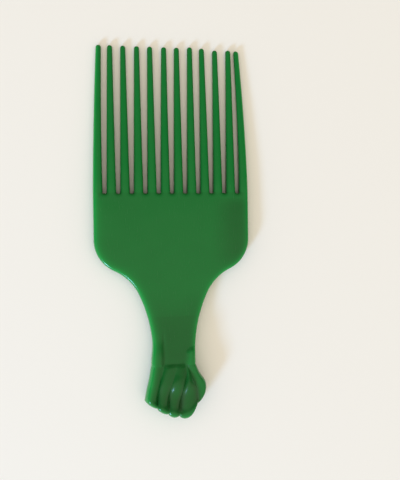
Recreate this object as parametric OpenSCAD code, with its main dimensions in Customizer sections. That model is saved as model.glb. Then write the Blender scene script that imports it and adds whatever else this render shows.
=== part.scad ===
// Afro pick with a clenched-fist handle: one injection moulding in rigid plastic.
// The pick lies flat, teeth towards +Y, front face up (+Z). The origin is on the centreline, where
// the line of the slot floors meets the flat back of the comb plate. Lengths are in millimetres.
// The real pick is a single piece. Its solids are divided where its forms change, and they meet
// face to face: twelve teeth, the comb plate, the neck, the wrist, four fingers and the thumb.

/* [Comb plate] */
// Width across the comb plate
comb_w = 76; // [68:1:88]
// Thickness of the comb plate and the neck
plate_t = 5; // [4:0.25:6.5]
// How far in from each side the rounded edge runs
edge_run = 2.2; // [2:0.1:3.4]
// Straight part of each side, down from the line of the slot floors
side_len = 22.4; // [16:0.2:28]
// Radius of the rounded shoulder at each lower corner
shoulder_r = 16.5; // [12:0.5:18]
// Angle through which a shoulder turns inwards
shoulder_turn = 65; // [58:1:70]

/* [Teeth] */
// Length of a tooth, from the slot floor to its tip
tooth_len = 70.8; // [50:0.2:85]
// Width of a tooth at its root
root_w = 4.7; // [4:0.1:5]
// Width of a tooth just below its round tip
tip_w = 2.5; // [2:0.1:3.2]
// Thickness of a tooth just below its round tip
tip_t = 2.3; // [1.8:0.1:3]
// Fillet between the side of a tooth and the slot floor
root_fillet_r = 0.6; // [0.3:0.05:0.7]

/* [Neck and wrist] */
// Distance from the line of the slot floors to the narrowest place of the wrist
handle_len = 78; // [72:1:90]
// Angle of the edge where the tight curve of the neck passes into the long curve of the handle
neck_turn = 25; // [20:1:30]
// Width of the wrist at its narrowest place
wrist_w = 20.8; // [17:0.2:24]
// Angle of the edge where the handle begins to swell into the wrist
swell_turn = 15; // [10:1:18]
// Length from the narrowest place to the crease at the base of the fingers
crease_gap = 5.4; // [4:0.2:8]
// Thickness between the two hollows at the middle of the wrist
wrist_t = 6.8; // [5.6:0.2:8]
// Height of the raised strips of the wrist above its hollow
strip_rise = 0.9; // [0.6:0.1:1.4]
// Outward flare of the edge on the little-finger side, at the crease
heel_flare = 0.9; // [0.4:0.1:1.4]

/* [Fist] */
// Length of the fist, from the crease to the knuckle that reaches furthest
fist_len = 27.3; // [23:0.5:32]
// Width that the places of the fist are measured in
fist_w = 30.2; // [27:0.2:34]
// Greatest thickness of the fist, front to back
fist_t = 10.8; // [9:0.2:13]
// Half thickness of the land along the parting line
land = 0.15; // [0.1:0.05:0.3]

/* [Hidden] */
green = "#1f7a38";

// Places along the handle, measured from the line of the slot floors
mid_z = plate_t / 2;
shoulder_y = -side_len - shoulder_r * sin(shoulder_turn);
narrow_y = -handle_len;
crease_y = narrow_y - crease_gap;

// Two arcs run from the shoulder to the narrowest place, where the edge is parallel to the centreline.
// Their radii follow from the distance across and along that they have to cover.
neck_dx = comb_w / 2 - shoulder_r * (1 - cos(shoulder_turn)) - wrist_w / 2;
neck_dy = shoulder_y - narrow_y;
neck_ax = cos(neck_turn) - cos(shoulder_turn);
neck_ay = sin(shoulder_turn) - sin(neck_turn);
handle_bx = 1 - cos(neck_turn);
handle_by = sin(neck_turn);
handle_r = (neck_ax * neck_dy - neck_ay * neck_dx) / (neck_ax * handle_by - neck_ay * handle_bx);
neck_r = (neck_dx - handle_bx * handle_r) / neck_ax;

// Centres of the three arcs of the right-hand edge
function heading(a) = [cos(a), -sin(a)];
shoulder_c = [comb_w / 2 - shoulder_r, -side_len];
neck_c = shoulder_c + (shoulder_r + neck_r) * heading(shoulder_turn);
handle_c = neck_c + (handle_r - neck_r) * heading(neck_turn);
wrist_top_y = narrow_y + handle_r * sin(swell_turn);

// Teeth: their spacing, and how far each tip has set to one side, as shares of the spacing
tooth_count = 12;
pitch = (comb_w - root_w) / (tooth_count - 1);
lean_shares = [0.22, 0.04, 0, 0.02, -0.01, 0.04, 0, 0, -0.09, -0.08, -0.05, -0.44];
length_shares = [1, 1, 1, 1, 1, 1, 1, 1.006, 1, 0.99, 0.993, 0.99];
lean_power = 1.8;
tooth_columns = 8;
body_rows = 7;
tip_rows = 4;
fillet_rows = 3;
first_tip_angle = 16;
root_square = 3.6;
tip_square = 2.3;
round_square = 2;

// Steps round the edge and along the outline
edge_steps = 4;
shoulder_steps = 8;
neck_steps = 6;
handle_steps = 3;

// Wrist: runs, shares and steps of its relief
band_count = 3;
wrist_rows = 12;
groove_half_w = 0.7;
groove_depth = 0.5;
groove_share = -0.255;
groove_start_share = 0.4;
notch_share = 0.33;
notch_start_share = 0.655;
notch_step_share = 0.22;
middle_start_share = 0.03;
index_start_share = 0.26;
thumb_start_share = 0.30;
crease_depth = 0.3;
crease_row_share = 0.975;

// Fist: the six curves that bound the fingers, from the crease to the gap between two knuckles.
// Each place is a share of fist_w across and of fist_len down. The first place lies on the crease,
// where it is a share of the width of the wrist instead.
curve_places = 4;
little_path_shares = [[-0.398, 0.155], [-0.427, 0.309], [-0.457, 0.447], [-0.480, 0.590]];
ring_path_shares = [[-0.213, 0.200], [-0.255, 0.405], [-0.284, 0.610], [-0.291, 0.790]];
middle_path_shares = [[-0.010, 0.195], [-0.072, 0.425], [-0.106, 0.665], [-0.112, 0.895]];
index_path_shares = [[0.184, 0.220], [0.136, 0.470], [0.082, 0.710], [0.063, 0.935]];
thumb_path_shares = [[0.274, 0.205], [0.346, 0.415], [0.360, 0.590], [0.360, 0.738]];
outer_path_shares = [[0.412, 0.170], [0.498, 0.315], [0.517, 0.420], [0.490, 0.500]];
// How far each knuckle swells past the line between its two gaps, as shares of fist_len, and how far
// that swelling turns from square to the line towards the length of the pick
bulge_shares = [0.045, 0.032, 0.050, 0.142, 0.030];
sag_shares = [0.3, 0.5, 0.5, 1, 0];

// Heights of the six curves, as shares of half the thickness of the fist, at five equal steps from the
// crease to the knuckles
line_shares = [
    [0, 0, 0, 0, 0, 0],
    [0.54, 0.56, 0.54, 0.50, 0.46, 0.52],
    [0.70, 0.73, 0.73, 0.58, 0.46, 0.52],
    [0.62, 0.64, 0.68, 0.56, 0.46, 0.52],
    [0.66, 0.62, 0.56, 0.51, 0.49, 0.52],
    [0, 0, 0, 0, 0, 0]];
// Heights of the ridge of each finger at the same steps, and the height that it rises from at the crease
crest_shares = [
    [0.74, 0.77, 0.79, 0.76, 0.82, 0.90],
    [0.76, 0.84, 0.86, 0.74, 0.84, 1],
    [0.74, 0.87, 1, 0.71, 0.78, 1],
    [0.68, 0.84, 1, 0.71, 0.76, 0.98],
    [0.80, 0.73, 0.65, 0.58, 0.56, 0.60]];
start_shares = [0.74, 0.63, 0.62, 0.60, 0.80];
start_run_share = 0.05;
// The grooves run out before they reach the rim round the knuckles
rim_share = 0.88;
rim_start_share = 0.80;
rim_run_share = 0.16;
// Where the ridge of each finger runs, as a share of its width from the left
ridge_shares = [0.42, 0.44, 0.46, 0.42, 0.62];
// How full the arch is on each side of the ridge
left_powers = [2, 1.6, 1.5, 1.5, 1.8];
right_powers = [1.3, 1.3, 1.3, 1.2, 2];
knuckle_share = 0.15;
lobe_power = 0.62;
reach_power = 3;
arch_power = 2.2;
finger_columns = 10;
finger_rows = 17;

// A closed solid under a grid of points [x, y, half thickness], mirrored about the middle plane.
// Rows run towards -Y and columns towards +X.
module moulded(grid) {
    rows = len(grid);
    cols = len(grid[0]);
    size = rows * cols;
    front = [for (row = grid) for (p = row) [p[0], p[1], mid_z + p[2]]];
    back = [for (row = grid) for (p = row) [p[0], p[1], mid_z - p[2]]];
    function at(r, c) = r * cols + c;
    quads = concat(
        [for (r = [0:rows - 2]) for (c = [0:cols - 2])
            [at(r, c), at(r, c + 1), at(r + 1, c + 1), at(r + 1, c)]],
        [for (r = [0:rows - 2]) for (c = [0:cols - 2])
            [at(r, c) + size, at(r + 1, c) + size, at(r + 1, c + 1) + size, at(r, c + 1) + size]],
        [for (r = [0:rows - 2])
            [at(r, 0), at(r + 1, 0), at(r + 1, 0) + size, at(r, 0) + size]],
        [for (r = [0:rows - 2])
            [at(r + 1, cols - 1), at(r, cols - 1), at(r, cols - 1) + size, at(r + 1, cols - 1) + size]],
        [for (c = [0:cols - 2])
            [at(0, c + 1), at(0, c), at(0, c) + size, at(0, c + 1) + size]],
        [for (c = [0:cols - 2])
            [at(rows - 1, c), at(rows - 1, c + 1), at(rows - 1, c + 1) + size, at(rows - 1, c) + size]]);
    triangles = [for (q = quads) each [[q[0], q[1], q[2]], [q[0], q[2], q[3]]]];
    polyhedron(points = concat(front, back), faces = triangles);
}

function mix(a, b, share) = a + (b - a) * share;
function ease(s) = let (t = min(1, max(0, s))) t * t * (3 - 2 * t);

// Half thickness across a section whose edge is a rounded square of the given power
function rounded(share, power) = pow(max(0, 1 - pow(min(1, abs(share)), power)), 1 / power);

// Teeth: each row is [height above the slot floor, width, half thickness, fillet on each side]
function tooth_rows(len) = concat(
    [for (i = [0:tip_rows - 1])
        let (a = first_tip_angle + (90 - first_tip_angle) * i / tip_rows)
        [len - tip_w / 2 * (1 - cos(a)), tip_w * sin(a), tip_t / 2 * sin(a), 0]],
    [for (i = [0:body_rows])
        let (y = mix(len - tip_w / 2, root_fillet_r, i / body_rows), s = y / len)
        [y, mix(root_w, tip_w, s), mix(plate_t, tip_t, s) / 2, 0]],
    [for (i = [1:fillet_rows])
        let (a = 90 * i / fillet_rows, y = root_fillet_r * (1 - sin(a)), s = y / len)
        [y, mix(root_w, tip_w, s), mix(plate_t, tip_t, s) / 2, root_fillet_r * (1 - cos(a))]]);

module tooth(i) {
    len = tooth_len * length_shares[i - 1];
    root_x = (i - 1 - (tooth_count - 1) / 2) * pitch;
    // An end tooth carries on the full round edge of the plate on its outer side
    outer = (i == 1) ? -1 : (i == tooth_count) ? 1 : 0;
    grid = [for (row = tooth_rows(len))
        let (s = row[0] / len,
            centre = root_x + pitch * lean_shares[i - 1] * pow(s, lean_power),
            power = mix(root_square, tip_square, s),
            outer_run = mix(edge_run, row[1] / 2, s),
            left_run = (outer < 0) ? outer_run : (outer > 0) ? row[1] - outer_run : row[1] / 2,
            right_run = row[1] - left_run,
            ridge = centre - row[1] / 2 + left_run)
        [for (j = [0:tooth_columns])
            let (c = -cos(180 * j / tooth_columns),
                on_left = c < 0,
                is_edge = on_left ? outer < 0 : outer > 0,
                run = (on_left ? left_run : right_run) + (is_edge ? 0 : row[3]),
                h = rounded(c, is_edge ? round_square : power))
            [ridge + run * c, row[0], max(land, row[2] * h)]]];
    color(green) moulded(grid);
}

// The right-hand edge as stations [centre, radius, heading], with a negative radius where it is hollow
straight_end = [[[comb_w / 2, 0], 0, 0]];
shoulder_stations = [for (i = [0:shoulder_steps])
    [shoulder_c, shoulder_r, shoulder_turn * i / shoulder_steps]];
neck_stations = [for (i = [0:neck_steps])
    [neck_c, -neck_r, mix(shoulder_turn, neck_turn, i / neck_steps)]];
handle_stations = [for (i = [1:handle_steps])
    [handle_c, -handle_r, mix(neck_turn, swell_turn, i / handle_steps)]];
function inset(station, depth) = station[0] + (station[1] - depth) * heading(station[2]);

// Rounded edge at a station: points from the parting line inwards, or back out for the other side
function edge_row(station, side, height, shift = 0) = [for (i = [0:edge_steps])
    let (a = 90 * ((side < 0) ? i : edge_steps - i) / edge_steps,
        p = inset(station, edge_run * (1 - cos(a))))
    [side * (p[0] + shift), p[1], max(land, height * sin(a))]];
function flat_row(station) = concat(edge_row(station, -1, mid_z), edge_row(station, 1, mid_z));

module comb_plate() {
    color(green) moulded([for (s = concat(straight_end, shoulder_stations)) flat_row(s)]);
}

module neck() {
    color(green) moulded([for (s = concat(neck_stations, handle_stations)) flat_row(s)]);
}

// Wrist: a hollow band between a long strip on the left and a short one on the right
function wrist_station(y) = (y > narrow_y)
    ? [handle_c, -handle_r, asin((y - narrow_y) / handle_r)]
    : [[wrist_w / 2, y], 0, 0];
function wrist_row(share) =
    let (station = wrist_station(mix(wrist_top_y, crease_y, share)),
        y = inset(station, edge_run)[1],
        base = mix(plate_t, wrist_t, ease(share)) / 2,
        from_groove = (share - groove_start_share) / (1 - groove_start_share),
        from_notch = (share - notch_start_share) / (1 - notch_start_share),
        left_h = base + strip_rise * ease(from_groove),
        right_h = base + strip_rise * ease(from_notch / notch_step_share),
        band = base - ((share == 1) ? crease_depth : 0),
        groove = groove_share * wrist_w,
        dip = groove_depth * ease(from_groove / notch_step_share),
        strip_x = wrist_w * mix(notch_share, index_start_share, ease(from_notch)))
    concat(
        edge_row(station, -1, left_h, heel_flare * ease(from_groove)),
        [[groove - groove_half_w, y, left_h], [groove, y, band - dip], [groove + groove_half_w, y, band]],
        [for (i = [1:band_count])
            [mix(groove + groove_half_w, strip_x - groove_half_w, i / (band_count + 1)), y, band]],
        [[strip_x - groove_half_w, y, band], [strip_x, y, right_h]],
        edge_row(station, 1, right_h));

module wrist() {
    shares = concat([for (i = [0:wrist_rows]) i / wrist_rows * crease_row_share], [1]);
    color(green) moulded([for (s = shares) wrist_row(s)]);
}

// Fist: bounding curve k as a smooth run through its places, at share v of its length
crease_places = [-wrist_w / 2 - heel_flare, groove_share * wrist_w, middle_start_share * wrist_w,
    index_start_share * wrist_w, thumb_start_share * wrist_w, wrist_w / 2];
path_shares = [little_path_shares, ring_path_shares, middle_path_shares,
    index_path_shares, thumb_path_shares, outer_path_shares];
function place(k, i) = (i == 0)
    ? [crease_places[k], crease_y]
    : [path_shares[k][i - 1][0] * fist_w, crease_y - path_shares[k][i - 1][1] * fist_len];
function place_on(k, i) = (i < 0) ? 2 * place(k, 0) - place(k, 1)
    : (i > curve_places) ? 2 * place(k, curve_places) - place(k, curve_places - 1)
    : place(k, i);
function smooth(a, b, c, d, t) = b + 0.5 * t * (c - a
    + t * (2 * a - 5 * b + 4 * c - d + t * (3 * (b - c) + d - a)));
function bound(k, v) =
    let (i = min(curve_places - 1, floor(curve_places * v)), t = curve_places * v - i)
    smooth(place_on(k, i - 1), place_on(k, i), place_on(k, i + 1), place_on(k, i + 2), t);

// Share u runs across finger k from its left curve to its right one, and v from crease to knuckle
function knuckle(k, u) =
    let (d = place(k + 1, curve_places) - place(k, curve_places),
        way = [d[1], -d[0]] / norm(d) - [0, sag_shares[k]])
    bulge_shares[k] * fist_len * pow(4 * u * (1 - u), lobe_power) * way / norm(way);
function finger_place(k, u, v) = mix(bound(k, v), bound(k + 1, v), u) + pow(v, reach_power) * knuckle(k, u);

// Heights, still as shares: along a table, along the ridge of a finger, along a bounding curve
function at_step(values, i) = values[min(len(values) - 1, max(0, i))];
function along(values, v) =
    let (n = len(values) - 1, i = min(n - 1, floor(n * v)), t = n * v - i)
    smooth(at_step(values, i - 1), values[i], values[i + 1], at_step(values, i + 2), t);
function crest(k, v) = mix(start_shares[k], along(crest_shares[k], v), sin(90 * min(1, v / start_run_share)));
function line(k, v, top) = (k == 0 || k == len(line_shares) - 1) ? 0
    : mix(along(line_shares[k], v), rim_share * top, ease((v - rim_start_share) / rim_run_share));
function finger_h(k, u, v) =
    let (at_left = u < ridge_shares[k],
        away = at_left ? 1 - u / ridge_shares[k] : (u - ridge_shares[k]) / (1 - ridge_shares[k]),
        top = crest(k, v),
        side = line(at_left ? k : k + 1, v, top),
        arch = rounded(away, at_left ? left_powers[k] : right_powers[k]),
        fall = rounded(max(0, v - 1 + knuckle_share) / knuckle_share, arch_power))
    max(land, fist_t / 2 * mix(side, top, arch) * fall);

module finger(k) {
    color(green) moulded([for (i = [0:finger_rows])
        let (v = (1 - cos(180 * i / finger_rows)) / 2)
        [for (j = [0:finger_columns])
            let (u = (1 - cos(180 * j / finger_columns)) / 2, p = finger_place(k, u, v))
            [p[0], p[1], finger_h(k, u, v)]]]);
}

module little_finger() { finger(0); }
module ring_finger() { finger(1); }
module middle_finger() { finger(2); }
module index_finger() { finger(3); }
module thumb() { finger(4); }

for (i = [1:tooth_count])
    tooth(i);
comb_plate();
neck();
wrist();
little_finger();
ring_finger();
middle_finger();
index_finger();
thumb();
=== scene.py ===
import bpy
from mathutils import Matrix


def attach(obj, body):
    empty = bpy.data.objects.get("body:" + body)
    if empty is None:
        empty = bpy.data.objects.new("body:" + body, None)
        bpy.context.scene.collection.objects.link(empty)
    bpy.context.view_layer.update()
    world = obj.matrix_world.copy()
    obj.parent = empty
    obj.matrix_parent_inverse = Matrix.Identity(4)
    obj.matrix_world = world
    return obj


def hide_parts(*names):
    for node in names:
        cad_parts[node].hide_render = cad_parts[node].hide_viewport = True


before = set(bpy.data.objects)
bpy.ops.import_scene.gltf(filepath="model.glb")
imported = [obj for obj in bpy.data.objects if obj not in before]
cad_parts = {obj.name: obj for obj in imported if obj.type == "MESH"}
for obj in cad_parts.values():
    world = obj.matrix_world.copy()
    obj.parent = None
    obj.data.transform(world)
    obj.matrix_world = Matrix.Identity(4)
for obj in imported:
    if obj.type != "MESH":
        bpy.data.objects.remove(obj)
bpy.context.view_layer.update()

import functools
import math

import bpy
import numpy as np
from bpy.props import FloatProperty, FloatVectorProperty, PointerProperty
from mathutils import Matrix, Vector

bl_info = {
    "name": "Afro Pick",
    "version": (1, 0, 0),
    "blender": (4, 5, 0),
    "location": "3D View > Sidebar > Pick",
    "description": "A one-piece moulded afro pick with a clenched-fist handle, and its studio",
    "category": "Object",
}

BODY = "root"
FINGERS = ("little_finger", "ring_finger", "middle_finger", "index_finger", "thumb")
TEETH = tuple(f"tooth_{i:02d}" for i in range(1, 13))


def linear(hex_colour):
    """An sRGB hex value, such as "#1f7a38", as linear red, green and blue."""
    parts = [int(hex_colour[i : i + 2], 16) / 255 for i in (1, 3, 5)]
    return tuple(c / 12.92 if c <= 0.04045 else ((c + 0.055) / 1.055) ** 2.4 for c in parts)


# ---- Sizes and colours that a user would change

def length(name, description, default):
    return FloatProperty(name=name, description=description, default=default, min=0, unit="LENGTH", precision=4)


def angle(name, description, degrees):
    return FloatProperty(name=name, description=description, default=math.radians(degrees), unit="ROTATION")


def colour(name, description, hex_colour):
    return FloatVectorProperty(
        name=name, description=description, default=linear(hex_colour), size=3, min=0, max=1, subtype="COLOR"
    )


class PickSizes(bpy.types.PropertyGroup):
    """Real sizes of the moulding"""

    comb_w: length("Comb width", "Width across the comb plate", 0.076)
    plate_t: length("Plate thickness", "Thickness of the comb plate and the neck", 0.005)
    edge_run: length("Edge run", "How far in from each side the rounded edge runs", 0.0022)
    side_len: length("Side length", "Straight part of each side, below the slot floors", 0.0224)
    shoulder_r: length("Shoulder radius", "Radius of the rounded lower corners", 0.0165)
    shoulder_turn: angle("Shoulder turn", "Angle through which a shoulder turns inwards", 65)
    tooth_len: length("Tooth length", "From the slot floor to the tip", 0.0708)
    root_w: length("Root width", "Width of a tooth at its root", 0.0047)
    tip_w: length("Tip width", "Width of a tooth below its round tip", 0.0025)
    tip_t: length("Tip thickness", "Thickness of a tooth below its round tip", 0.0023)
    root_fillet: length("Root fillet", "Fillet between a tooth and the slot floor", 0.0006)
    handle_len: length("Handle length", "From the slot floors to the narrowest place", 0.078)
    neck_turn: angle("Neck turn", "Edge angle where the neck passes into the handle", 25)
    swell_turn: angle("Swell turn", "Edge angle where the handle swells into the wrist", 15)
    wrist_w: length("Wrist width", "Width of the wrist at its narrowest place", 0.0208)
    wrist_t: length("Wrist thickness", "Thickness between the hollows of the wrist", 0.0068)
    crease_gap: length("Crease gap", "From the narrowest place to the crease", 0.0054)
    strip_rise: length("Strip rise", "Height of the raised strips above the hollow", 0.0009)
    heel_flare: length("Heel flare", "Outward flare on the little-finger side", 0.0009)
    fist_len: length("Fist length", "From the crease to the furthest knuckle", 0.0273)
    fist_w: length("Fist width", "Width that the places of the fist are measured in", 0.0302)
    fist_t: length("Fist thickness", "Greatest thickness of the fist", 0.0108)


class PickFinish(bpy.types.PropertyGroup):
    """Colours of the moulding and its studio"""

    thick_green: colour("Green, thick", "Pigmented plastic where it is thick", "#0a5c23")
    # The second green is painted light: the brighter, purer green that light shining through thin edges gives, painted
    # into the colour
    glow_green: colour("Green, thin", "The same plastic at thin edges, which light comes through", "#008a39")
    # This grey is painted shade, laid into the slots and the fist's grooves where shade falls
    painted_shade: colour("Groove_and_slot_shade", "Dull film of dust and hair oil in the grooves and the slots", "#353b33")
    floor: colour("Floor", "Pale matte floor", "#eeeeee")
    key: colour("Window light", "Soft daylight from the lower left", "#a3d0ff")
    room: colour("Room light", "Warm light from the whole room", "#fff3dd")
    roughness: FloatProperty(
        name="Roughness", description="Roughness of the polished moulding", default=0.2, min=0, max=1, subtype="FACTOR"
    )


# ---- The moulded surface, in millimetres, as a front half that is mirrored in the parting plane

ARC, FLAT, SLOT_STEPS, FILLET = 10, 2, 4, 5
TIP_ROWS, BODY_ROWS = 8, 34
SIDE_ROWS, SHOULDER_ROWS, NECK_ROWS, HANDLE_ROWS, WRIST_ROWS = 12, 22, 18, 8, 56
FINGER_ROWS, RIM_ROWS = 46, 14
COLUMNS = 2 * ARC + 12 * FLAT + 11 * SLOT_STEPS
FINGER_COLUMNS = (20, 18, 15, 15, 20)

# Painted light and shade, which every point carries as an attribute: nothing where the plastic is thick, 1 at an open
# edge, where the brighter, purer green of light shining through thin plastic is painted in, and less than nothing in
# the slots and grooves, where shade is painted in
PLATE, ROOT, TIP = 0.31, 0.44, 0.48

# How deep that painted light reaches in from an edge, in millimetres, and how fast it fades: further on the window's
# side, which the window lights
LEFT_GLOW, RIGHT_GLOW = (1.2, 1.35), (0.9, 0.8)

# How far each tip has set to one side, as a share of the spacing, and each length
LEANS = (0.22, 0.04, 0, 0.02, -0.01, 0.04, 0, 0, -0.09, -0.08, -0.05, -0.44)
LENGTHS = (1, 1, 1, 1, 1, 1, 1, 1.006, 1, 0.99, 0.993, 0.99)

# The six curves that bound the fingers, as shares of the fist's width and length
PATHS = (
    ((-0.398, 0.155), (-0.427, 0.309), (-0.457, 0.447), (-0.490, 0.628)),
    ((-0.213, 0.200), (-0.255, 0.405), (-0.284, 0.610), (-0.291, 0.790)),
    ((-0.010, 0.195), (-0.072, 0.425), (-0.106, 0.665), (-0.112, 0.895)),
    ((0.184, 0.220), (0.136, 0.470), (0.082, 0.710), (0.063, 0.935)),
    ((0.274, 0.205), (0.346, 0.415), (0.360, 0.590), (0.360, 0.738)),
    ((0.412, 0.170), (0.498, 0.315), (0.517, 0.420), (0.490, 0.500)),
)
# Where the groove beside the long strip runs, as a share of the wrist's width
GROOVE = -0.255
BULGES = (0.027, 0.032, 0.050, 0.138, 0.040)
SAGS = (0.3, 0.5, 0.5, 1, 0)
# How much flatter each knuckle is towards the thumb
SKEWS = (0.5, 0, 0, 0.7, 0)


def mix(a, b, share):
    return a + (b - a) * share


def ease(share):
    t = np.clip(share, 0, 1)
    return t * t * (3 - 2 * t)


def heading(turn):
    return np.array([math.cos(turn), -math.sin(turn)])


def edge_profile(power):
    """Shares across and up a rounded edge, from its side to where it meets the face."""
    a = np.radians(np.linspace(0, 90, ARC + 1))
    across, up = np.abs(np.cos(a)) ** (2 / power), np.abs(np.sin(a)) ** (2 / power)
    across[-1], up[0] = 0, 0
    return 1 - across, up


class Skin:
    """Points, painted light and shade, and named faces of the front half of the moulding."""

    def __init__(self):
        self.points, self.thin, self.faces, self.names = [], [], [], []

    def add(self, x, y, h, thin):
        """Adds points and gives their numbers back in the same arrangement."""
        x, y, h, thin = np.broadcast_arrays(*(np.asarray(a, float) for a in (x, y, h, thin)))
        start = len(self.points)
        self.points.extend(zip(x.ravel(), y.ravel(), h.ravel()))
        self.thin.extend(thin.ravel())
        return np.arange(start, start + x.size).reshape(x.shape)

    def at(self, number):
        return np.array(self.points[number])

    def sheet(self, grid, name, flip=False):
        """Faces of a grid whose rows run towards -Y and whose columns run towards +X."""
        grid = np.asarray(grid)
        for r in range(grid.shape[0] - 1):
            for c in range(grid.shape[1] - 1):
                face = [grid[r, c], grid[r + 1, c], grid[r + 1, c + 1], grid[r, c + 1]]
                self.faces.append([int(i) for i in (face[::-1] if flip else face)])
                self.names.append(name if isinstance(name, str) else name[c])


def handle_stations(s):
    """Centre, radius and heading along the right-hand edge, from the shoulder to the wrist."""
    st, nt, wt = s["shoulder_turn"], s["neck_turn"], s["swell_turn"]
    r, half, narrow = s["shoulder_r"], s["comb_w"] / 2, -s["handle_len"]
    dx = half - r * (1 - math.cos(st)) - s["wrist_w"] / 2
    dy = -s["side_len"] - r * math.sin(st) - narrow
    ax, ay = math.cos(nt) - math.cos(st), math.sin(st) - math.sin(nt)
    bx, by = 1 - math.cos(nt), math.sin(nt)
    handle_r = (ax * dy - ay * dx) / (ax * by - ay * bx)
    neck_r = (dx - bx * handle_r) / ax
    shoulder_c = np.array([half - r, -s["side_len"]])
    neck_c = shoulder_c + (r + neck_r) * heading(st)
    handle_c = neck_c + (handle_r - neck_r) * heading(nt)
    shoulder = [(shoulder_c, r, st * i / SHOULDER_ROWS) for i in range(1, SHOULDER_ROWS + 1)]
    neck = [(neck_c, -neck_r, mix(st, nt, i / NECK_ROWS)) for i in range(1, NECK_ROWS + 1)]
    handle = [(handle_c, -handle_r, mix(nt, wt, i / HANDLE_ROWS)) for i in range(1, HANDLE_ROWS + 1)]
    return shoulder, neck, handle, handle_c, handle_r, narrow + handle_r * math.sin(wt)


def glow(depth, hold, fade):
    """How much painted light, as of light shining through, a point gets at a depth, in millimetres, behind an open
    edge.
    """
    return np.exp(-np.maximum(0, depth - hold) / fade)


def inset(station, depth):
    centre, radius, turn = station
    return centre + (radius - depth) * heading(turn)


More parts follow.
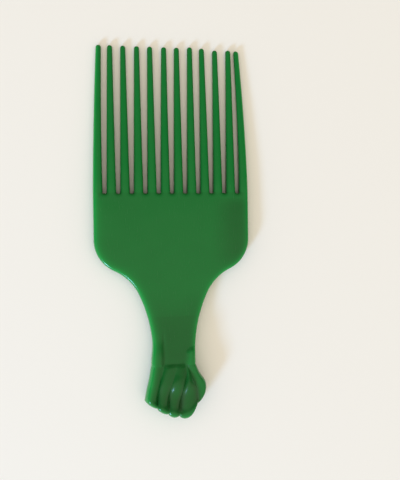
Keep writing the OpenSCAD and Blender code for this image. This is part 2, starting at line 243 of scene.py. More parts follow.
def teeth_and_slots(skin, s):
    """The twelve tapered teeth and the rounded edge round each slot; returns the row of points below them."""
    half, edge, edge_h, fillet = s["comb_w"] / 2, s["edge_run"], s["plate_t"] / 2, s["root_fillet"]
    pitch = (s["comb_w"] - s["root_w"]) / 11
    grids, runs = [], []
    for i in range(12):
        long = s["tooth_len"] * LENGTHS[i]
        left_end, right_end = i == 0, i == 11

        def width(y):
            return mix(s["root_w"], s["tip_w"], y / long)

        def half_thickness(y):
            # The taper starts gently, so that no crease shows where the tooth leaves the plate
            share, soft = y / long, 0.08
            fall = share**2 / (2 * soft) if share < soft else share - soft / 2
            return mix(s["plate_t"], s["tip_t"], fall / (1 - soft / 2)) / 2

        last = long - s["tip_w"] / 2
        rows = [
            (long - s["tip_w"] / 2 * (1 - math.cos(a)), width(last) * math.sin(a), half_thickness(last) * math.sin(a))
            for a in np.radians(np.linspace(0, 90, TIP_ROWS + 1)[1:-1])
        ]
        rows += [(y, width(y), half_thickness(y)) for y in np.linspace(last, fillet, BODY_ROWS + 1)]
        grid = []
        for y, w, t in rows:
            share = y / long
            centre = -half + s["root_w"] / 2 + pitch * (i + LEANS[i] * share**1.8)
            side = 0.46 * w
            outer = mix(edge, side, share)
            inner = min(side, 0.92 * w - outer)
            left, right = (outer if left_end else side), (outer if right_end else side)
            left, right = (inner if right_end else left), (inner if left_end else right)
            power = mix(3.6, 2.3, share)
            in_l, up_l = edge_profile(mix(2.7, 2, share) if left_end else power)
            in_r, up_r = edge_profile(mix(2.7, 2, share) if right_end else power)
            x0, x1 = centre - w / 2, centre + w / 2
            x = np.r_[x0 + left * in_l, np.linspace(x0 + left, x1 - right, FLAT + 1)[1:-1], (x1 - right * in_r)[::-1]]
            h = t * np.r_[up_l, np.ones(FLAT - 1), up_r[::-1]]
            # The end teeth's open outer edges get painted light, and the teeth are painted a little brighter towards
            # their tips
            open_l = glow(left * in_l, 0.6, mix(1.35, 0.5, min(1, 3 * share))) * left_end
            open_r = glow(right * in_r, 0.6, mix(0.8, 0.4, min(1, 3 * share))) * right_end
            rim = np.r_[open_l, np.zeros(FLAT - 1), open_r[::-1]]
            thin = mix(mix(ROOT, TIP, max(0, share - 0.3) / 0.7), 1, rim)
            if not left_end:
                # Painted shade on a slot's right-hand wall, most of it near the root, where the wall lies in shade: it
                # counts as less than no light
                painted_shade = 0.95 * (1 - 0.75 * ease(1.6 * share)) * (1 - up_l) ** 0.55
                thin[: ARC + 1] = thin[: ARC + 1] * up_l**0.7 - painted_shade
            # The slot's left-hand wall is painted darker where it is steeper: painted shade
            if not right_end:
                thin[-ARC - 1 :] *= up_r[::-1] ** 0.7
            grid.append(skin.add(x, y, h, thin))
        tip_x = -half + s["root_w"] / 2 + pitch * (i + LEANS[i])
        tip = int(skin.add(tip_x, long, 0, 1))
        grid = np.array(grid)
        for c in range(grid.shape[1] - 1):
            skin.faces.append([tip, int(grid[0, c]), int(grid[0, c + 1])])
            skin.names.append(TEETH[i])
        skin.sheet(grid, TEETH[i])
        grids.append(grid)
        runs.append((left, right))
    # Round each slot floor the edge follows a fillet, the floor and the other fillet
    last_column = grids[0].shape[1] - 1
    steps = 2 * FILLET + SLOT_STEPS
    inward, up = edge_profile(3.6)
    strips = []
    for j in range(11):
        x_left, x_right = skin.at(grids[j][-1, last_column])[0], skin.at(grids[j + 1][-1, 0])[0]
        strip = [grids[j][-1, last_column - np.arange(ARC + 1)]]
        for k in range(1, steps):
            run = mix(runs[j][1], runs[j + 1][0], k / steps)
            if k < FILLET or k > steps - FILLET:
                mirror = k > FILLET
                a = math.radians(90 * (steps - k if mirror else k) / FILLET)
                centre = x_right - fillet if mirror else x_left + fillet
                away = np.array([(1 if mirror else -1) * math.cos(a), -math.sin(a)])
                place = np.array([centre, fillet]) + fillet * away
            else:
                place = np.array([mix(x_left + fillet, x_right - fillet, (k - FILLET) / SLOT_STEPS), 0.0])
                away = np.array([0.0, -1.0])
            across = place[None, :] + run * inward[:, None] * away[None, :]
            # Painted shade on each slot's floor and fillets: darker where the edge is steeper, weaker beside the
            # left-hand tooth
            painted_shade = mix(0.3, 0.95, min(1, 2 * k / steps)) * (1 - up) ** 0.55
            strip.append(skin.add(across[:, 0], across[:, 1], edge_h * up, PLATE * up**0.7 - painted_shade))
        strip.append(grids[j + 1][-1, np.arange(ARC + 1)])
        strips.append(np.array(strip))
        skin.sheet(strips[j], "comb_plate", flip=True)
    # Below each tooth its flat middle widens until it meets the floors on both sides
    row = []
    in_l, up_l = edge_profile(2.7)
    # The outer edges of the plate below the end teeth get painted light, reaching further on the window's side
    left_edge_glow, right_edge_glow = (mix(PLATE, 1, glow(edge * in_l, *reach)) for reach in (LEFT_GLOW, RIGHT_GLOW))
    for i in range(12):
        band = [grids[i][-1, ARC : ARC + FLAT + 1]]
        side_rows = []
        for k in range(1, FILLET + 1):
            left = strips[i - 1][steps - k, ARC] if i > 0 else None
            right = strips[i][k, ARC] if i < 11 else None
            y = skin.at(right if left is None else left)[1]
            if i == 0:
                side = skin.add(-half + edge * in_l, y, edge_h * up_l, left_edge_glow)
                side_rows.append(side)
                left = side[-1]
            if i == 11:
                side = skin.add((half - edge * in_l)[::-1], y, (edge_h * up_l)[::-1], right_edge_glow[::-1])
                side_rows.append(side)
                right = side[0]
            a, b = skin.at(left), skin.at(right)
            between = [skin.add(*mix(a, b, q / FLAT), PLATE) for q in range(1, FLAT)]
            band.append(np.array([int(left), *[int(q) for q in between], int(right)]))
        band = np.array(band)
        skin.sheet(band, "comb_plate")
        if i == 0:
            ends = np.array([grids[0][-1, : ARC + 1], *side_rows])
            skin.sheet(ends, "comb_plate")
            row.extend(ends[-1][:-1])
        row.extend(band[-1] if i == 0 else band[-1][1:])
        if i == 11:
            ends = np.array([grids[11][-1, ARC + FLAT :], *side_rows])
            skin.sheet(ends, "comb_plate")
            row.extend(ends[-1][1:])
        else:
            row.extend(strips[i][FILLET + 1 : FILLET + SLOT_STEPS + 1, ARC])
    return np.array(row)


def place(s, k, i):
    """Place i on bounding curve k, from the crease down."""
    w = s["wrist_w"]
    if i == 0:
        start = (-w / 2 - s["heel_flare"], GROOVE * w, 0.03 * w, 0.26 * w, 0.30 * w, w / 2)[k]
        return np.array([start, -s["handle_len"] - s["crease_gap"]])
    share = PATHS[k][i - 1]
    return np.array([share[0] * s["fist_w"], -s["handle_len"] - s["crease_gap"] - share[1] * s["fist_len"]])


def short_strip(s, x, y, share):
    """How far the short strip stands up: it starts at a slanting notch, whose lower side is a step."""
    notch_y = -s["handle_len"] + mix(3.1, 1.6, ease((9.2 - x) / 3.8))
    run = mix(4.2, 2.7, ease((share - 0.7) / 0.3))
    return ease((x - 0.225 * s["wrist_w"]) / run) * ease((notch_y - y) / 1.7)


def wrist_height(s, x, y, share):
    """Half thickness across the wrist between its rounded edges."""
    w = s["wrist_w"]
    base = mix(s["plate_t"], s["wrist_t"], ease(share)) / 2
    groove_x, started, cut = GROOVE * w, ease((share - 0.46) / 0.4), ease((share - 0.2) / 0.4)
    strip = started * s["strip_rise"]
    lean = 0.4 * started * ease((groove_x - 1.0 - x) / 2.4)
    h = base + strip * (1 - ease((x - (groove_x - 1.3)) / 1.3)) - lean
    h = h - 0.45 * cut * np.exp(-(((x - groove_x) / 0.62) ** 2))
    h = h + s["strip_rise"] * 1.1 * short_strip(s, x, y, share)
    # The crease crosses only the band between the two strips
    across = ease((x - groove_x + 0.5) / 0.9) * (1 - ease((x - 0.25 * w + 0.4) / 0.8))
    crease = (y + s["handle_len"] + s["crease_gap"] - 0.9) / 1.1
    beside = np.exp(-(((x - 4.4) / 0.5) ** 2)) * ease((-s["handle_len"] - 1.4 - y) / 3)
    return h - 0.12 * across * np.exp(-(crease**2)) - 0.12 * beside


# Heights along the six curves and along the ridge of each finger, as shares of half the fist's thickness,
# at five equal steps from the crease to the knuckles
LINES = (
    (0, 0, 0, 0, 0, 0),
    (0.54, 0.56, 0.54, 0.50, 0.46, 0.52),
    (0.70, 0.73, 0.74, 0.54, 0.46, 0.52),
    (0.62, 0.64, 0.68, 0.55, 0.46, 0.52),
    (0.70, 0.65, 0.57, 0.51, 0.49, 0.52),
    (0, 0, 0, 0, 0, 0),
)
CRESTS = (
    (0.74, 0.77, 0.79, 0.76, 0.82, 0.90),
    (0.76, 0.84, 0.86, 0.74, 0.84, 1.00),
    (0.74, 0.87, 1.01, 0.68, 0.78, 1.00),
    (0.68, 0.84, 1.00, 0.705, 0.76, 0.98),
    (0.77, 0.71, 0.64, 0.58, 0.56, 0.60),
)
STARTS = (0.74, 0.63, 0.62, 0.60, 0.77)
RIDGES = (0.42, 0.44, 0.46, 0.42, 0.62)
LEFT_ARCHES, RIGHT_ARCHES = (2, 1.6, 1.5, 1.5, 1.8), (1.3, 1.3, 1.3, 1.2, 2)
# How much deeper each groove is halfway along it, in shares of half the thickness, and how much shade is painted into
# it
PITS = (0, 0.06, 0.09, 0.13, 0, 0)
GROOVE_SHADE = (0, 0.2, 0.3, 0.5, 0.4, 0)
KNUCKLE = 0.15


def rounded(share, power):
    return np.maximum(0, 1 - np.minimum(1, np.abs(share)) ** power) ** (1 / power)


def along(values, v):
    """A smooth curve through values at equal steps of v."""
    steps = len(values) - 1
    i = min(steps - 1, int(steps * v))
    t = steps * v - i
    a, b, c, d = (values[min(steps, max(0, i + n))] for n in (-1, 0, 1, 2))
    return b + 0.5 * t * (c - a + t * (2 * a - 5 * b + 4 * c - d + t * (3 * (b - c) + d - a)))


def in_grooves(s, k, u, v, amounts, reach, halfway, spread):
    """An amount for each bounding curve, which fades away from the curve and towards both its ends."""
    wide = np.linalg.norm(bound(s, k + 1, v) - bound(s, k, v))
    left, right = np.exp(-((u * wide / reach) ** 2)), np.exp(-(((1 - u) * wide / reach) ** 2))
    return (amounts[k] * left + amounts[k + 1] * right) * math.exp(-(((v - halfway) / spread) ** 2))


def finger_height(s, k, u, v):
    """Half thickness of finger k at share u across and v along."""
    ridge = mix(STARTS[k], along(CRESTS[k], v), math.sin(math.pi / 2 * min(1, v / 0.05)))
    at_left = u < RIDGES[k]
    away = np.where(at_left, 1 - u / RIDGES[k], (u - RIDGES[k]) / (1 - RIDGES[k]))
    side = np.where(at_left, along(LINES[k], v), along(LINES[k + 1], v))
    # The grooves run out before they reach the rim round the knuckles
    side = np.where(side > 0, mix(side, 0.88 * ridge, ease((v - 0.80) / 0.16)), 0)
    arch = np.where(at_left, rounded(away, LEFT_ARCHES[k]), rounded(away, RIGHT_ARCHES[k]))
    pit = in_grooves(s, k, u, v, PITS, 0.8, 0.67, 0.2)
    fall = rounded(max(0, v - 1 + KNUCKLE) / KNUCKLE, 2.2)
    return s["fist_t"] / 2 * (mix(side, ridge, arch) - pit) * fall


def bound(s, k, v):
    """Bounding curve k at share v of its length, smooth through its places."""
    places = [place(s, k, i) for i in range(5)]
    return along([2 * places[0] - places[1], *places, 2 * places[4] - places[3]], (1 + 4 * v) / 6)


def finger_places(s, k, u, v):
    """Points across finger k, with the swelling of its knuckle."""
    a, b = place(s, k, 4), place(s, k + 1, 4)
    d = (b - a) / np.linalg.norm(b - a)
    way = np.array([d[1], -d[0] - SAGS[k]])
    way = way / np.linalg.norm(way)
    swell = BULGES[k] * s["fist_len"] * np.clip(4 * u * (1 - u), 0, 1) ** 0.62 * (1 - SKEWS[k] * u**5) * v**3
    p, q = bound(s, k, v), bound(s, k + 1, v)
    return p[0] + (q[0] - p[0]) * u + swell * way[0], p[1] + (q[1] - p[1]) * u + swell * way[1]


def plate_and_handle(skin, s, first_row):
    """The comb plate, the neck and the wrist, as rows of points from the slot floors to the crease."""
    half, edge, edge_h = s["comb_w"] / 2, s["edge_run"], s["plate_t"] / 2
    inward, up = edge_profile(2.7)
    inner = COLUMNS - 2 * ARC
    start = np.array([skin.at(i) for i in first_row[ARC : ARC + inner + 1]])
    shoulder, neck, handle, handle_c, handle_r, wrist_top = handle_stations(s)

    def row(x, y, h, left_edge, right_edge, left_h, right_h, slant, thick=0.0, strips=None):
        """One row: the left edge, the middle, and the right edge."""
        xs = np.r_[left_edge[:, 0], x[1:-1], right_edge[::-1, 0]]
        ys = np.r_[left_edge[:, 1], np.broadcast_to(y, x.shape)[1:-1], right_edge[::-1, 1]]
        hs = np.r_[left_h * up, h[1:-1], (right_h * up)[::-1]]
        middle, far = slant * x[1:-1], np.full(ARC + 1, 99.0)
        light = np.maximum(
            glow(np.r_[edge * inward, edge + middle - slant * x[0], far], *LEFT_GLOW),
            glow(np.r_[far, edge + slant * x[-1] - middle, edge * inward[::-1]], *RIGHT_GLOW),
        )
        if strips is not None:
            light = np.maximum(light, np.r_[np.full(ARC + 1, strips[0]), strips[1:-1], np.full(ARC + 1, strips[-1])])
        # The right-hand side of the plate, away from the window, gets less of the painted light and looks deeper in
        # colour, most of all halfway down
        deeper = 0.8 * ease((xs - 17) / 15) * ease(-ys / 7) * (1 - 0.7 * ease((-27 - ys) / 10))
        return skin.add(xs, ys, hs, mix(PLATE * (1 - np.maximum(thick, deeper)), 1, light))

    def edge_points(station, shift=0.0):
        right = np.array([inset(station, edge * d) for d in inward])
        left = right * [-1, 1] - [shift, 0]
        return left, right

    plate_rows, neck_rows = [first_row], []
    for i in range(1, SIDE_ROWS + 1):
        share = i / SIDE_ROWS
        y = mix(start[:, 1], -s["side_len"], share)
        x = mix(start[:, 0], np.linspace(-half + edge, half - edge, inner + 1), ease(share * 1.6))
        left = np.c_[-half + edge * inward, np.full(ARC + 1, y[0])]
        right = np.c_[half - edge * inward, np.full(ARC + 1, y[-1])]
        plate_rows.append(row(x, y, np.full(inner + 1, edge_h), left, right, edge_h, edge_h, 1))
    for rows, stations in ((plate_rows, shoulder), (neck_rows, neck + handle)):
        for station in stations:
            left, right = edge_points(station)
            x = np.linspace(left[-1, 0], right[-1, 0], inner + 1)
            thick = 0.8 * ease((-44 - right[-1, 1]) / 24)
            slant = math.cos(station[2])
            rows.append(row(x, right[-1, 1], np.full(inner + 1, edge_h), left, right, edge_h, edge_h, slant, thick))
    neck_rows.insert(0, plate_rows[-1])

    crease_y = -s["handle_len"] - s["crease_gap"]
    marks = [place(s, k, 0)[0] for k in range(6)]
    marks[0] += edge
    marks[5] -= edge
    counts = [FINGER_COLUMNS[0] - ARC, *FINGER_COLUMNS[1:4], FINGER_COLUMNS[4] - ARC]
    crease_x = [np.linspace(a, b, n + 1)[:-1] for a, b, n in zip(marks, marks[1:], counts)]
    crease_x = np.concatenate([*crease_x, [marks[5]]])
    wrist_rows = [neck_rows[-1]]
    for i in range(1, WRIST_ROWS + 1):
        share = 1 - (1 - i / WRIST_ROWS) ** 1.15
        y = mix(wrist_top, crease_y, share)
        narrow = -s["handle_len"]
        turn = math.asin((y - narrow) / handle_r) if y > narrow else 0
        station = (handle_c, -handle_r, turn) if y > narrow else (np.array([s["wrist_w"] / 2, y]), 0, 0)
        left, right = edge_points(station, s["heel_flare"] * ease((share - 0.46) / 0.54))
        y_in = right[-1, 1]
        even = np.linspace(left[-1, 0], right[-1, 0], inner + 1)
        x = mix(even, crease_x, ease((share - 0.25) / 0.7))
        x[0], x[-1] = left[-1, 0], right[-1, 0]
        h = wrist_height(s, x, y_in, share)
        # The short strip is painted brighter, with painted light as at an open edge
        raised = 0.5 * short_strip(s, x, y_in, share)
        wrist_rows.append(row(x, y_in, h, left, right, h[0], h[-1], math.cos(station[2]), mix(0.8, 1, share), raised))
    skin.sheet(plate_rows, "comb_plate")
    skin.sheet(neck_rows, "neck")
    skin.sheet(wrist_rows, "wrist")
    return np.array(wrist_rows)


def fist(skin, s, crease_row):
    """The four fingers and the thumb, as rows of points from the crease to the knuckles."""
    crease = np.array([skin.at(i) for i in crease_row])
    names = [name for name, n in zip(FINGERS, FINGER_COLUMNS) for _ in range(n)]
    edges = np.cumsum((0, *FINGER_COLUMNS))
    start_u = []
    for k, n in enumerate(FINGER_COLUMNS):
        a, b = place(s, k, 0)[0], place(s, k + 1, 0)[0]
        start_u.append(np.clip((crease[edges[k] : edges[k + 1] + 1, 0] - a) / (b - a), 0, 1))
    shares = np.linspace(0, 1 - KNUCKLE, FINGER_ROWS + 1)[1:]
    shares = np.r_[shares, 1 - KNUCKLE + KNUCKLE * np.sin(np.radians(np.linspace(0, 90, RIM_ROWS + 1)[1:]))]
    rows = [crease_row]
    for v in shares:
        xs, ys, hs, ts = [], [], [], []
        for k, n in enumerate(FINGER_COLUMNS):
            u = mix(start_u[k], (1 - np.cos(np.pi * np.arange(n + 1) / n)) / 2, ease(v / 0.35))
            x, y = finger_places(s, k, u, v)
            h = finger_height(s, k, u, v)
            # How soon the height at the crease gives way to the finger's own: later beside the thumb
            settle = (0.03, 0.03, 0.03, mix(0.03, 0.15, u), 0.15)[k]
            h = mix(crease[edges[k] : edges[k + 1] + 1, 2], h, ease(v / settle))
            # The knuckles' rim is painted brighter: a painted highlight where it faces the window
            rim = max(0, (v - 1 + KNUCKLE) / KNUCKLE)
            thin = np.full(n + 1, 0.95 * rim)
            # The little finger's open left edge gets the painted light of the window's side
            if k == 0:
                thin = np.maximum(thin, glow(u * (bound(s, 1, v) - bound(s, 0, v))[0], *LEFT_GLOW))
            # The thumb is painted brighter towards its outer edge: painted light
            if k == 4:
                thin = np.maximum(thin, mix(0.22, 0.64, u**2) * ease(u / 0.2))
            # Painted shade darkens each groove, most of all some way down towards the knuckles
            thin = thin - in_grooves(s, k, u, v, GROOVE_SHADE, 1.4, 0.72, 0.28)
            first = 0 if k == 0 else 1
            for values, own in ((xs, x), (ys, y), (hs, h), (ts, thin)):
                values.append(own[first:])
        h = np.concatenate(hs)
        h[0], h[-1] = 0, 0
        if v >= 1 - 1e-9:
            h[:] = 0
        rows.append(skin.add(np.concatenate(xs), np.concatenate(ys), h, np.concatenate(ts)))
    skin.sheet(rows, names)
    return np.array(rows)


def soften(points, grid, passes):
    """Rounds the bottoms of the grooves and the ridges a little, as a mould's cutter leaves them."""
    z = points[grid, 2]
    fixed = np.ones_like(z, bool)
    fixed[1:-1, 2:-2] = False
    for _ in range(passes):
        middle = z.copy()
        middle[1:-1, 1:-1] = (
            4 * z[1:-1, 1:-1] + 2 * (z[1:-1, :-2] + z[1:-1, 2:]) + z[:-2, 1:-1] + z[2:, 1:-1]
        ) / 10
        z = np.where(fixed, z, middle)
    points[grid, 2] = z


@functools.lru_cache(maxsize=1)
def moulding(sizes):
    """The whole front half: points, painted light and shade, faces, the piece each face belongs to, and smooth
    normals.
    """
    s = dict(sizes)
    skin = Skin()
    first_row = teeth_and_slots(skin, s)
    wrist_rows = plate_and_handle(skin, s, first_row)
    fist_rows = fist(skin, s, wrist_rows[-1])
    points = np.array(skin.points)
    relief = np.concatenate([wrist_rows[-30:], fist_rows[1:]])
    soften(points, relief[:, ARC // 2 : -(ARC // 2)], 4)
    normals = np.zeros_like(points)
    for face in skin.faces:
        p = points[face]
        n = np.cross(p[2] - p[0], p[3] - p[1]) if len(face) == 4 else np.cross(p[1] - p[0], p[2] - p[0])
        normals[face] += n
    on_parting = points[:, 2] < 1e-6
    normals[on_parting, 2] = 0
    normals /= np.maximum(np.linalg.norm(normals, axis=1, keepdims=True), 1e-12)
    return points, np.array(skin.thin), skin.faces, skin.names, normals, on_parting


def pick_sizes():
    """The panel's lengths in millimetres and angles in radians."""
    group = bpy.context.scene.pick_sizes
    values = {name: getattr(group, name) for name in PickSizes.__annotations__}
    return tuple((name, value if name.endswith("turn") else value * 1000) for name, value in values.items())


def make_piece(node, material):
    """One closed piece of the moulding: its front, its mirrored back, and flat ends where it meets its neighbours."""
    sizes = pick_sizes()
    mid = dict(sizes)["plate_t"] / 2
    points, thin, faces, names, normals, on_parting = moulding(sizes)
    own = [face for face, name in zip(faces, names) if name == node]
    if not own:
        raise RuntimeError(f"no surface was made for {node}")
    used = sorted({i for face in own for i in face})
    front = {i: n for n, i in enumerate(used)}
    behind = [i for i in used if not on_parting[i]]
    back = {i: len(used) + n for n, i in enumerate(behind)}
    back.update({i: front[i] for i in used if on_parting[i]})
    coords = [(points[i][0], points[i][1], mid + points[i][2]) for i in used]
    coords += [(points[i][0], points[i][1], mid - points[i][2]) for i in behind]
    polygons, loop_normals, smooth = [], [], []
    directed = set()
    for face in own:
        polygons.append([front[i] for i in face])
        loop_normals.extend(normals[i] for i in face)
        polygons.append([back[i] for i in reversed(face)])
        loop_normals.extend(normals[i] * (1, 1, -1) for i in reversed(face))
        smooth += [True, True]
        directed.update(zip(face, face[1:] + face[:1]))
    for a, b in sorted(directed):
        if (b, a) in directed or (on_parting[a] and on_parting[b]):
            continue
        wall = [front[b], front[a]]
        wall += [back[a]] if not on_parting[a] else []
        wall += [back[b]] if not on_parting[b] else []
        p = [Vector(coords[i]) for i in wall]
        n = (p[1] - p[0]).cross(p[2] - p[0]).normalized()
        polygons.append(wall)
        loop_normals.extend([tuple(n)] * len(wall))
        smooth.append(False)
    mesh = bpy.data.meshes.new(f"{node}_moulded")
    mesh.from_pydata([[c / 1000 for c in p] for p in coords], [], polygons)
    mesh.polygons.foreach_set("use_smooth", smooth)
    mesh.attributes.new("thin", "FLOAT", "POINT").data.foreach_set(
        "value", [float(thin[i]) for i in used] + [float(thin[i]) for i in behind]
    )
    mesh.update()
    mesh.normals_split_custom_set([tuple(n) for n in loop_normals])
    mesh.materials.append(material)
    piece = bpy.data.objects.new(f"{node}_moulded", mesh)
    bpy.context.scene.collection.objects.link(piece)
    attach(piece, BODY)
    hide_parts(node)
    return piece


# ---- Materials

def add_node(tree, kind, settings=None, **links):
    """A node with its settings, its socket values and its links."""
    node = tree.nodes.new(kind)
    for name, value in (settings or {}).items():
        if hasattr(node, name):
            setattr(node, name, value)
        else:
            node.inputs[int(name) if name.isdigit() else name].default_value = value
    for name, source in links.items():
        socket = node.inputs[int(name[1:])] if name[1:].isdigit() else node.inputs[name.replace("_", " ")]
        tree.links.new(source, socket)
    return node


def new_material(name):
    material = bpy.data.materials.new(name)
    material.use_nodes = True
    material.node_tree.nodes.clear()
    return material, material.node_tree


def moulded_plastic():
    """Pigmented polypropylene, injection moulded in a polished tool: a deep, slightly soft gloss."""
    name = "polypropylene_polished_moulding"
    if name in bpy.data.materials:
        return bpy.data.materials[name]
    finish = bpy.context.scene.pick_finish
    material, tree = new_material(name)
    spot = add_node(tree, "ShaderNodeTexCoord").outputs["Object"]
    # Painted light: the attribute paints thin edges and tips a brighter, purer green, as light shining through them
    # makes them look
    thin = add_node(tree, "ShaderNodeAttribute", {"attribute_name": "thin"}).outputs["Fac"]
    flow = add_node(tree, "ShaderNodeTexNoise", {"Scale": 60.0, "Detail": 2.0}, Vector=spot).outputs["Fac"]
    greens = {"data_type": "RGBA", "6": (*finish.thick_green, 1), "7": (*finish.glow_green, 1)}
    green = add_node(tree, "ShaderNodeMix", greens, _0=thin).outputs[2]
    # The pigment is a little uneven where the melt flowed, over about 16 mm
    tone = add_node(tree, "ShaderNodeMapRange", {"3": 0.94, "4": 1.06}, Value=flow).outputs[0]
    green = add_node(tree, "ShaderNodeVectorMath", {"operation": "SCALE"}, _0=green, Scale=tone).outputs[0]
    # Where the attribute is below zero shade is painted on: a dull grey, and painted darkness where it is lower
    grey_share = add_node(tree, "ShaderNodeMapRange", {"1": -0.3, "2": 0.0, "3": 0.3, "4": 0.0}, Value=thin).outputs[0]
    painted_shade = {"data_type": "RGBA", "7": (*finish.painted_shade, 1)}
    green = add_node(tree, "ShaderNodeMix", painted_shade, _0=grey_share, _6=green).outputs[2]
    dark = add_node(tree, "ShaderNodeMapRange", {"1": -1.0, "2": -0.3, "3": 0.2, "4": 1.0}, Value=thin).outputs[0]
    green = add_node(tree, "ShaderNodeVectorMath", {"operation": "SCALE"}, _0=green, Scale=dark).outputs[0]
    # Hairline scratches from hair and pockets, mostly along the teeth: about 0.15 mm wide so that they show
    stretch = add_node(tree, "ShaderNodeMapping", {"Scale": (6500, 190, 6500)}, Vector=spot).outputs[0]
    scratch = add_node(tree, "ShaderNodeTexNoise", {"Scale": 1.0, "Detail": 2.0}, Vector=stretch).outputs["Fac"]
    scratch = add_node(tree, "ShaderNodeMapRange", {"1": 0.66, "2": 0.74}, Value=scratch).outputs[0]
    # Handling leaves dull patches about 10 mm across
    patches = add_node(tree, "ShaderNodeTexNoise", {"Scale": 100.0, "Detail": 3.0}, Vector=spot).outputs["Fac"]
    dull = add_node(tree, "ShaderNodeMapRange", {"1": 0.3, "2": 0.7, "3": -0.03, "4": 0.05}, Value=patches).outputs[0]
    rough = add_node(tree, "ShaderNodeMath", {"operation": "ADD", "0": finish.roughness}, _1=dull).outputs[0]
    rough = add_node(tree, "ShaderNodeMath", {"operation": "MULTIPLY_ADD", "1": 0.12}, _0=scratch, _2=rough).outputs[0]
    # Shrinkage leaves the flat faces very slightly wavy, over about 15 mm, and the tool's polish a finer grain
    wave = add_node(tree, "ShaderNodeTexNoise", {"Scale": 65.0, "Detail": 1.0}, Vector=spot).outputs["Fac"]
    grain = add_node(tree, "ShaderNodeTexNoise", {"Scale": 1400.0, "Detail": 2.0}, Vector=spot).outputs["Fac"]
    bump = add_node(tree, "ShaderNodeBump", {"Strength": 1.0, "Distance": 0.00022}, Height=wave).outputs[0]
    fine = {"Strength": 0.35, "Distance": 0.000012}
    bump = add_node(tree, "ShaderNodeBump", fine, Height=grain, Normal=bump).outputs[0]
    groove = {"Strength": 0.35, "Distance": 0.00002, "invert": True}
    bump = add_node(tree, "ShaderNodeBump", groove, Height=scratch, Normal=bump).outputs[0]
    links = {"Base_Color": green, "Roughness": rough, "Normal": bump}
    shader = add_node(tree, "ShaderNodeBsdfPrincipled", {"IOR": 1.49}, **links).outputs[0]
    add_node(tree, "ShaderNodeOutputMaterial", Surface=shader)
    return material


def floor_card():
    """Uncoated white card: matte, with the faint unevenness of paper."""
    finish = bpy.context.scene.pick_finish
    material, tree = new_material("white_card_matte")
    spot = add_node(tree, "ShaderNodeTexCoord").outputs["Object"]
    fibre = add_node(tree, "ShaderNodeTexNoise", {"Scale": 900.0, "Detail": 3.0}, Vector=spot).outputs["Fac"]
    bump = add_node(tree, "ShaderNodeBump", {"Strength": 0.15, "Distance": 0.00003}, Height=fibre).outputs[0]
    matte = {"Base Color": (*finish.floor, 1), "Roughness": 0.9, "Specular IOR Level": 0.2}
    shader = add_node(tree, "ShaderNodeBsdfPrincipled", matte, Normal=bump).outputs[0]
    add_node(tree, "ShaderNodeOutputMaterial", Surface=shader)
    return material


# ---- One operator for each piece, or group of like pieces, and one for the stage

def make_all(nodes):
    material = moulded_plastic()
    for node in nodes:
        make_piece(node, material)


class PICK_OT_teeth(bpy.types.Operator):
    """Make the twelve tapered teeth with their round, slightly set tips"""

    bl_idname = "pick.teeth"
    bl_label = "Teeth"

    def execute(self, context):
        make_all(TEETH)
        return {"FINISHED"}


class PICK_OT_comb_plate(bpy.types.Operator):
    """Make the comb plate with its slot floors, straight sides and round shoulders"""

    bl_idname = "pick.comb_plate"
    bl_label = "Comb Plate"

    def execute(self, context):
        make_all(["comb_plate"])
        return {"FINISHED"}


class PICK_OT_neck(bpy.types.Operator):
    """Make the neck that narrows from the shoulders to the handle"""

    bl_idname = "pick.neck"
    bl_label = "Neck"

    def execute(self, context):
        make_all(["neck"])
        return {"FINISHED"}


class PICK_OT_wrist(bpy.types.Operator):
    """Make the wrist with its long and short raised strips, notch and crease"""

    bl_idname = "pick.wrist"
    bl_label = "Wrist"

    def execute(self, context):
        make_all(["wrist"])
        return {"FINISHED"}


class PICK_OT_fingers(bpy.types.Operator):
    """Make the four folded fingers with their knuckles"""

    bl_idname = "pick.fingers"
    bl_label = "Fingers"

    def execute(self, context):
        make_all(FINGERS[:4])
        return {"FINISHED"}


class PICK_OT_thumb(bpy.types.Operator):
    """Make the thumb"""

    bl_idname = "pick.thumb"
    bl_label = "Thumb"

    def execute(self, context):
        make_all(FINGERS[4:])
        return {"FINISHED"}


def resting_plane():
    """Slope and height of the floor that the back of the fist and the tips rest on, in metres."""
    points, *_ = moulding(pick_sizes())
    mid = dict(pick_sizes())["plate_t"] / 2
    flat = sorted({(round(y, 3), round(mid - h, 4)) for _, y, h in points})
    hull = []
    for p in flat:
        while len(hull) > 1 and (hull[-1][0] - hull[-2][0]) * (p[1] - hull[-2][1]) <= (
            hull[-1][1] - hull[-2][1]
        ) * (p[0] - hull[-2][0]):
            hull.pop()
        hull.append(p)
    balance = -20.0
    for a, b in zip(hull, hull[1:]):
        if a[0] <= balance <= b[0]:
            slope = (b[1] - a[1]) / (b[0] - a[0])
            return slope, (a[1] - slope * a[0]) / 1000
    raise RuntimeError("the pick has no stable rest on a flat floor")


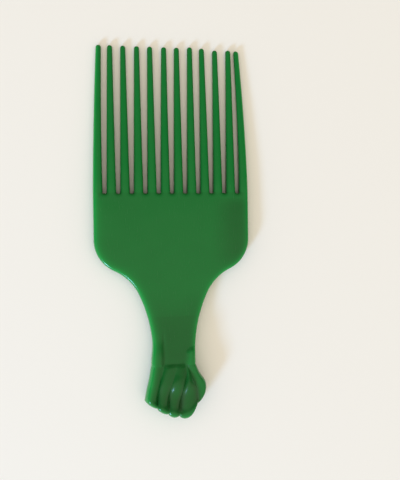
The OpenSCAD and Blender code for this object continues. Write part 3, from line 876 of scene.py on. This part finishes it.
class PICK_OT_stage(bpy.types.Operator):
    """Make the floor, the window light, the room light and the camera"""

    bl_idname = "pick.stage"
    bl_label = "Stage"

    def execute(self, context):
        scene = context.scene
        finish = scene.pick_finish
        slope, height = resting_plane()
        mesh = bpy.data.meshes.new("floor")
        corners = ((-3, -3), (3, -3), (3, 3), (-3, 3))
        mesh.from_pydata([(x, y, height + slope * y) for x, y in corners], [], [(0, 1, 2, 3)])
        mesh.materials.append(floor_card())
        floor = bpy.data.objects.new("floor", mesh)
        scene.collection.objects.link(floor)

        centre = Vector((0, -0.02, 0.003))
        lamp = bpy.data.lights.new("window", "AREA")
        lamp.shape, lamp.size, lamp.size_y = "RECTANGLE", 0.34, 0.3
        lamp.energy, lamp.color = 28.0, finish.key
        window = bpy.data.objects.new("window", lamp)
        scene.collection.objects.link(window)
        turn, rise, away = math.radians(230), math.radians(20), 2.0
        towards = Vector((math.cos(turn) * math.cos(rise), math.sin(turn) * math.cos(rise), math.sin(rise)))
        window.location = centre + towards * away
        window.rotation_euler = (-towards).to_track_quat("-Z", "Y").to_euler()

        world = bpy.data.worlds.new("room")
        world.use_nodes = True
        scene.world = world
        tree = world.node_tree
        tree.nodes.clear()
        # The room is brighter above and on the window's side; what the gloss mirrors is darker past the teeth
        way = add_node(tree, "ShaderNodeTexCoord").outputs["Generated"]
        bright = {"operation": "DOT_PRODUCT", "1": (-0.193, -0.23, 0.385)}
        side = add_node(tree, "ShaderNodeVectorMath", bright, _0=way).outputs["Value"]
        level = add_node(tree, "ShaderNodeMath", {"operation": "ADD", "0": 0.685}, _1=side).outputs[0]
        beyond = {"operation": "DOT_PRODUCT", "1": (0.0, 1.0, -0.3)}
        past = add_node(tree, "ShaderNodeVectorMath", beyond, _0=way).outputs["Value"]
        past = add_node(tree, "ShaderNodeMath", {"operation": "ADD", "1": 0.4}, _0=past).outputs[0]
        ramp = add_node(tree, "ShaderNodeValToRGB", Fac=past)
        stops = ((0.1, 0.57), (0.31, 0.03), (0.42, 0.03), (0.58, 0.3), (0.8, 0.22), (1.0, 0.05))
        for n, (position, grey) in enumerate(stops):
            stop = ramp.color_ramp.elements[n] if n < 2 else ramp.color_ramp.elements.new(position)
            stop.position, stop.color = position, (grey, grey, grey, 1)
        glossy = add_node(tree, "ShaderNodeLightPath").outputs["Is Glossy Ray"]
        level = add_node(tree, "ShaderNodeMix", Factor=glossy, A=level, B=ramp.outputs[0]).outputs[0]
        room = add_node(tree, "ShaderNodeBackground", {"Color": (*finish.room, 1)}, Strength=level).outputs[0]
        add_node(tree, "ShaderNodeOutputWorld", Surface=room)

        lens = bpy.data.cameras.new("camera")
        lens.lens, lens.sensor_width = 45, 36
        lens.clip_start, lens.clip_end = 0.01, 20
        camera = bpy.data.objects.new("camera", lens)
        scene.collection.objects.link(camera)
        right, upward, back = (0.9851, -0.0140, 0.1713), (0.0166, 0.9998, -0.0138), (-0.1710, 0.0164, 0.9851)
        pose = Matrix((right, upward, back)).transposed().to_4x4()
        pose.translation = Vector((-0.0369, -0.0182, 0.2938))
        camera.matrix_world = pose
        scene.camera = camera
        scene.view_settings.view_transform = "Standard"
        return {"FINISHED"}


class PICK_PT_panel(bpy.types.Panel):
    """The pick's pieces, sizes and colours"""

    bl_idname = "PICK_PT_panel"
    bl_label = "Afro Pick"
    bl_space_type = "VIEW_3D"
    bl_region_type = "UI"
    bl_category = "Pick"

    def draw(self, context):
        column = self.layout.column(align=True)
        for operator in OPERATORS:
            column.operator(operator.bl_idname)
        for group in (context.scene.pick_sizes, context.scene.pick_finish):
            column = self.layout.column()
            for name in type(group).__annotations__:
                column.prop(group, name)


OPERATORS = (
    PICK_OT_teeth,
    PICK_OT_comb_plate,
    PICK_OT_neck,
    PICK_OT_wrist,
    PICK_OT_fingers,
    PICK_OT_thumb,
    PICK_OT_stage,
)
CLASSES = (PickSizes, PickFinish, *OPERATORS, PICK_PT_panel)


def register():
    for cls in CLASSES:
        bpy.utils.register_class(cls)
    bpy.types.Scene.pick_sizes = PointerProperty(type=PickSizes)
    bpy.types.Scene.pick_finish = PointerProperty(type=PickFinish)


def unregister():
    del bpy.types.Scene.pick_finish
    del bpy.types.Scene.pick_sizes
    for cls in reversed(CLASSES):
        bpy.utils.unregister_class(cls)


def main():
    register()
    for operator in OPERATORS:
        group, name = operator.bl_idname.split(".")
        getattr(getattr(bpy.ops, group), name)()


if __name__ == "__main__":
    main()
